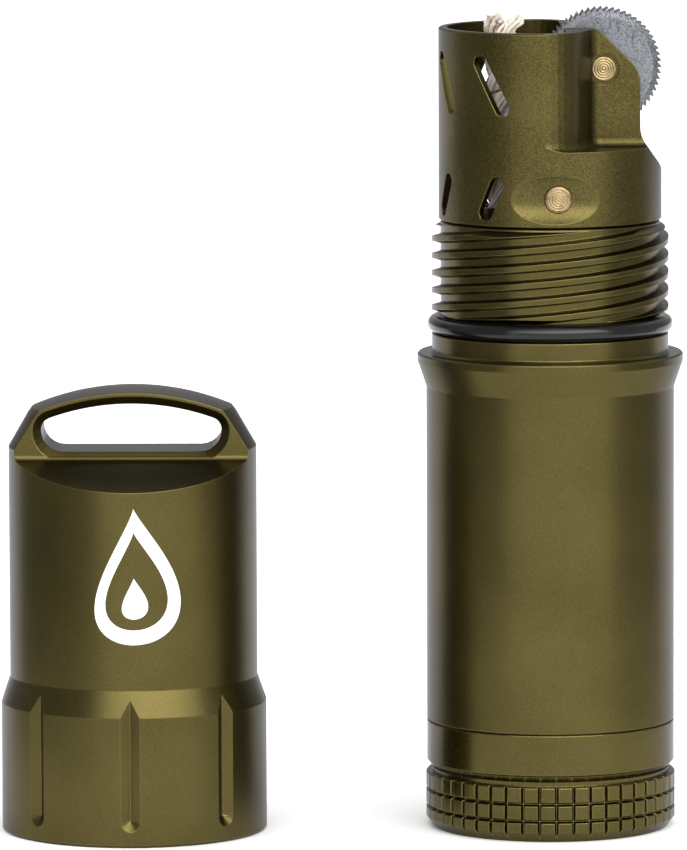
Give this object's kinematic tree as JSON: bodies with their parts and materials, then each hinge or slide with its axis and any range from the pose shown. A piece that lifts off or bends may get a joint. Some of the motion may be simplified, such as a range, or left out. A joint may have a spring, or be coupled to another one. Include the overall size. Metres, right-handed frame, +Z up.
{
  "type": "refillable capsule lighter",
  "caption": "Capsule-shaped refillable lighter with a flint wheel and wick, and its screw cap with a lanyard bail standing beside it.",
  "frame": {"origin": "centre of the lighter's base, on the surface that it stands on", "axes": "+Z up along the lighter's axis, +X towards the striker wheel, -Y towards the front; the cap stands on the -X side"},
  "size_m": [0.0654, 0.0258, 0.0789],
  "materials": {
    "olive_anodised": "olive anodised, satin turned",
    "seal_rubber": "black nitrile, lightly greased",
    "brass": "turned",
    "wheel_steel": "hardened, matt grey",
    "spring_steel": "drawn wire",
    "ferrocerium": "dark grey",
    "cotton": "braided cotton, off white",
    "felt": "pressed felt"
  },
  "bodies": {
    "lighter": {"tank_body": "olive_anodised", "neck_oring": "seal_rubber", "deck_insert": "brass", "chimney": "olive_anodised", "chimney_pin": "brass", "wheel_axle": "brass", "flint_tube": "brass", "wick_tube": "brass", "cotton_packing": "cotton", "felt_pad": "felt"},
    "wheel": {"striker_wheel": "wheel_steel"},
    "fuel_seal": {"fuel_cap_oring": "seal_rubber"},
    "fuel_cap": {"fuel_cap": "olive_anodised"},
    "flint_feed": {"flint": "ferrocerium", "flint_pusher": "brass"},
    "screw_carrier": {"flint_spring": "spring_steel"},
    "flint_screw": {"flint_screw": "brass"},
    "wick": {"wick": "cotton", "wick_wire": "brass"},
    "cap": {"cap_shell": "olive_anodised"}
  },
  "joints": [
    {"name": "wheel_spin", "type": "hinge", "parent": "lighter", "child": "wheel", "pos_m": [0.0049, 0, 0.073], "axis": [0, 1, 0], "continuous": true},
    {"name": "fuel_cap_travel", "type": "slide", "parent": "lighter", "child": "fuel_seal", "axis": [0, 0, -1], "range_m": [0, 0.009]},
    {"name": "fuel_cap_turn", "type": "hinge", "parent": "fuel_seal", "child": "fuel_cap", "pos_m": [0, 0, 0], "axis": [0, 0, 1], "range_deg": [-3240, 0]},
    {"name": "flint_press", "type": "slide", "parent": "lighter", "child": "flint_feed", "axis": [0, 0, -1], "range_m": [0, 0.003], "stiffness_N_per_m": 150, "springref_m": -0.012, "deforming": ["flint_spring"]},
    {"name": "flint_screw_travel", "type": "slide", "parent": "lighter", "child": "screw_carrier", "axis": [0, 0, -1], "range_m": [0, 0.0056]},
    {"name": "flint_screw_turn", "type": "hinge", "parent": "screw_carrier", "child": "flint_screw", "pos_m": [0.0049, 0, 0.02], "axis": [0, 0, 1], "range_deg": [-2880, 0]},
    {"name": "wick_draw", "type": "slide", "parent": "lighter", "child": "wick", "axis": [0, 0, 1], "range_m": [0, 0.006]},
    {"name": "cap_lift", "type": "slide", "parent": "lighter", "child": "cap", "axis": [0, 0, 1], "range_m": [0, 0.09]}
  ],
  "couplings": [
    {"joint": "fuel_cap_turn", "follows": "fuel_cap_travel", "rad_per_m": -6283.2},
    {"joint": "flint_screw_turn", "follows": "flint_screw_travel", "rad_per_m": -8976}
  ]
}
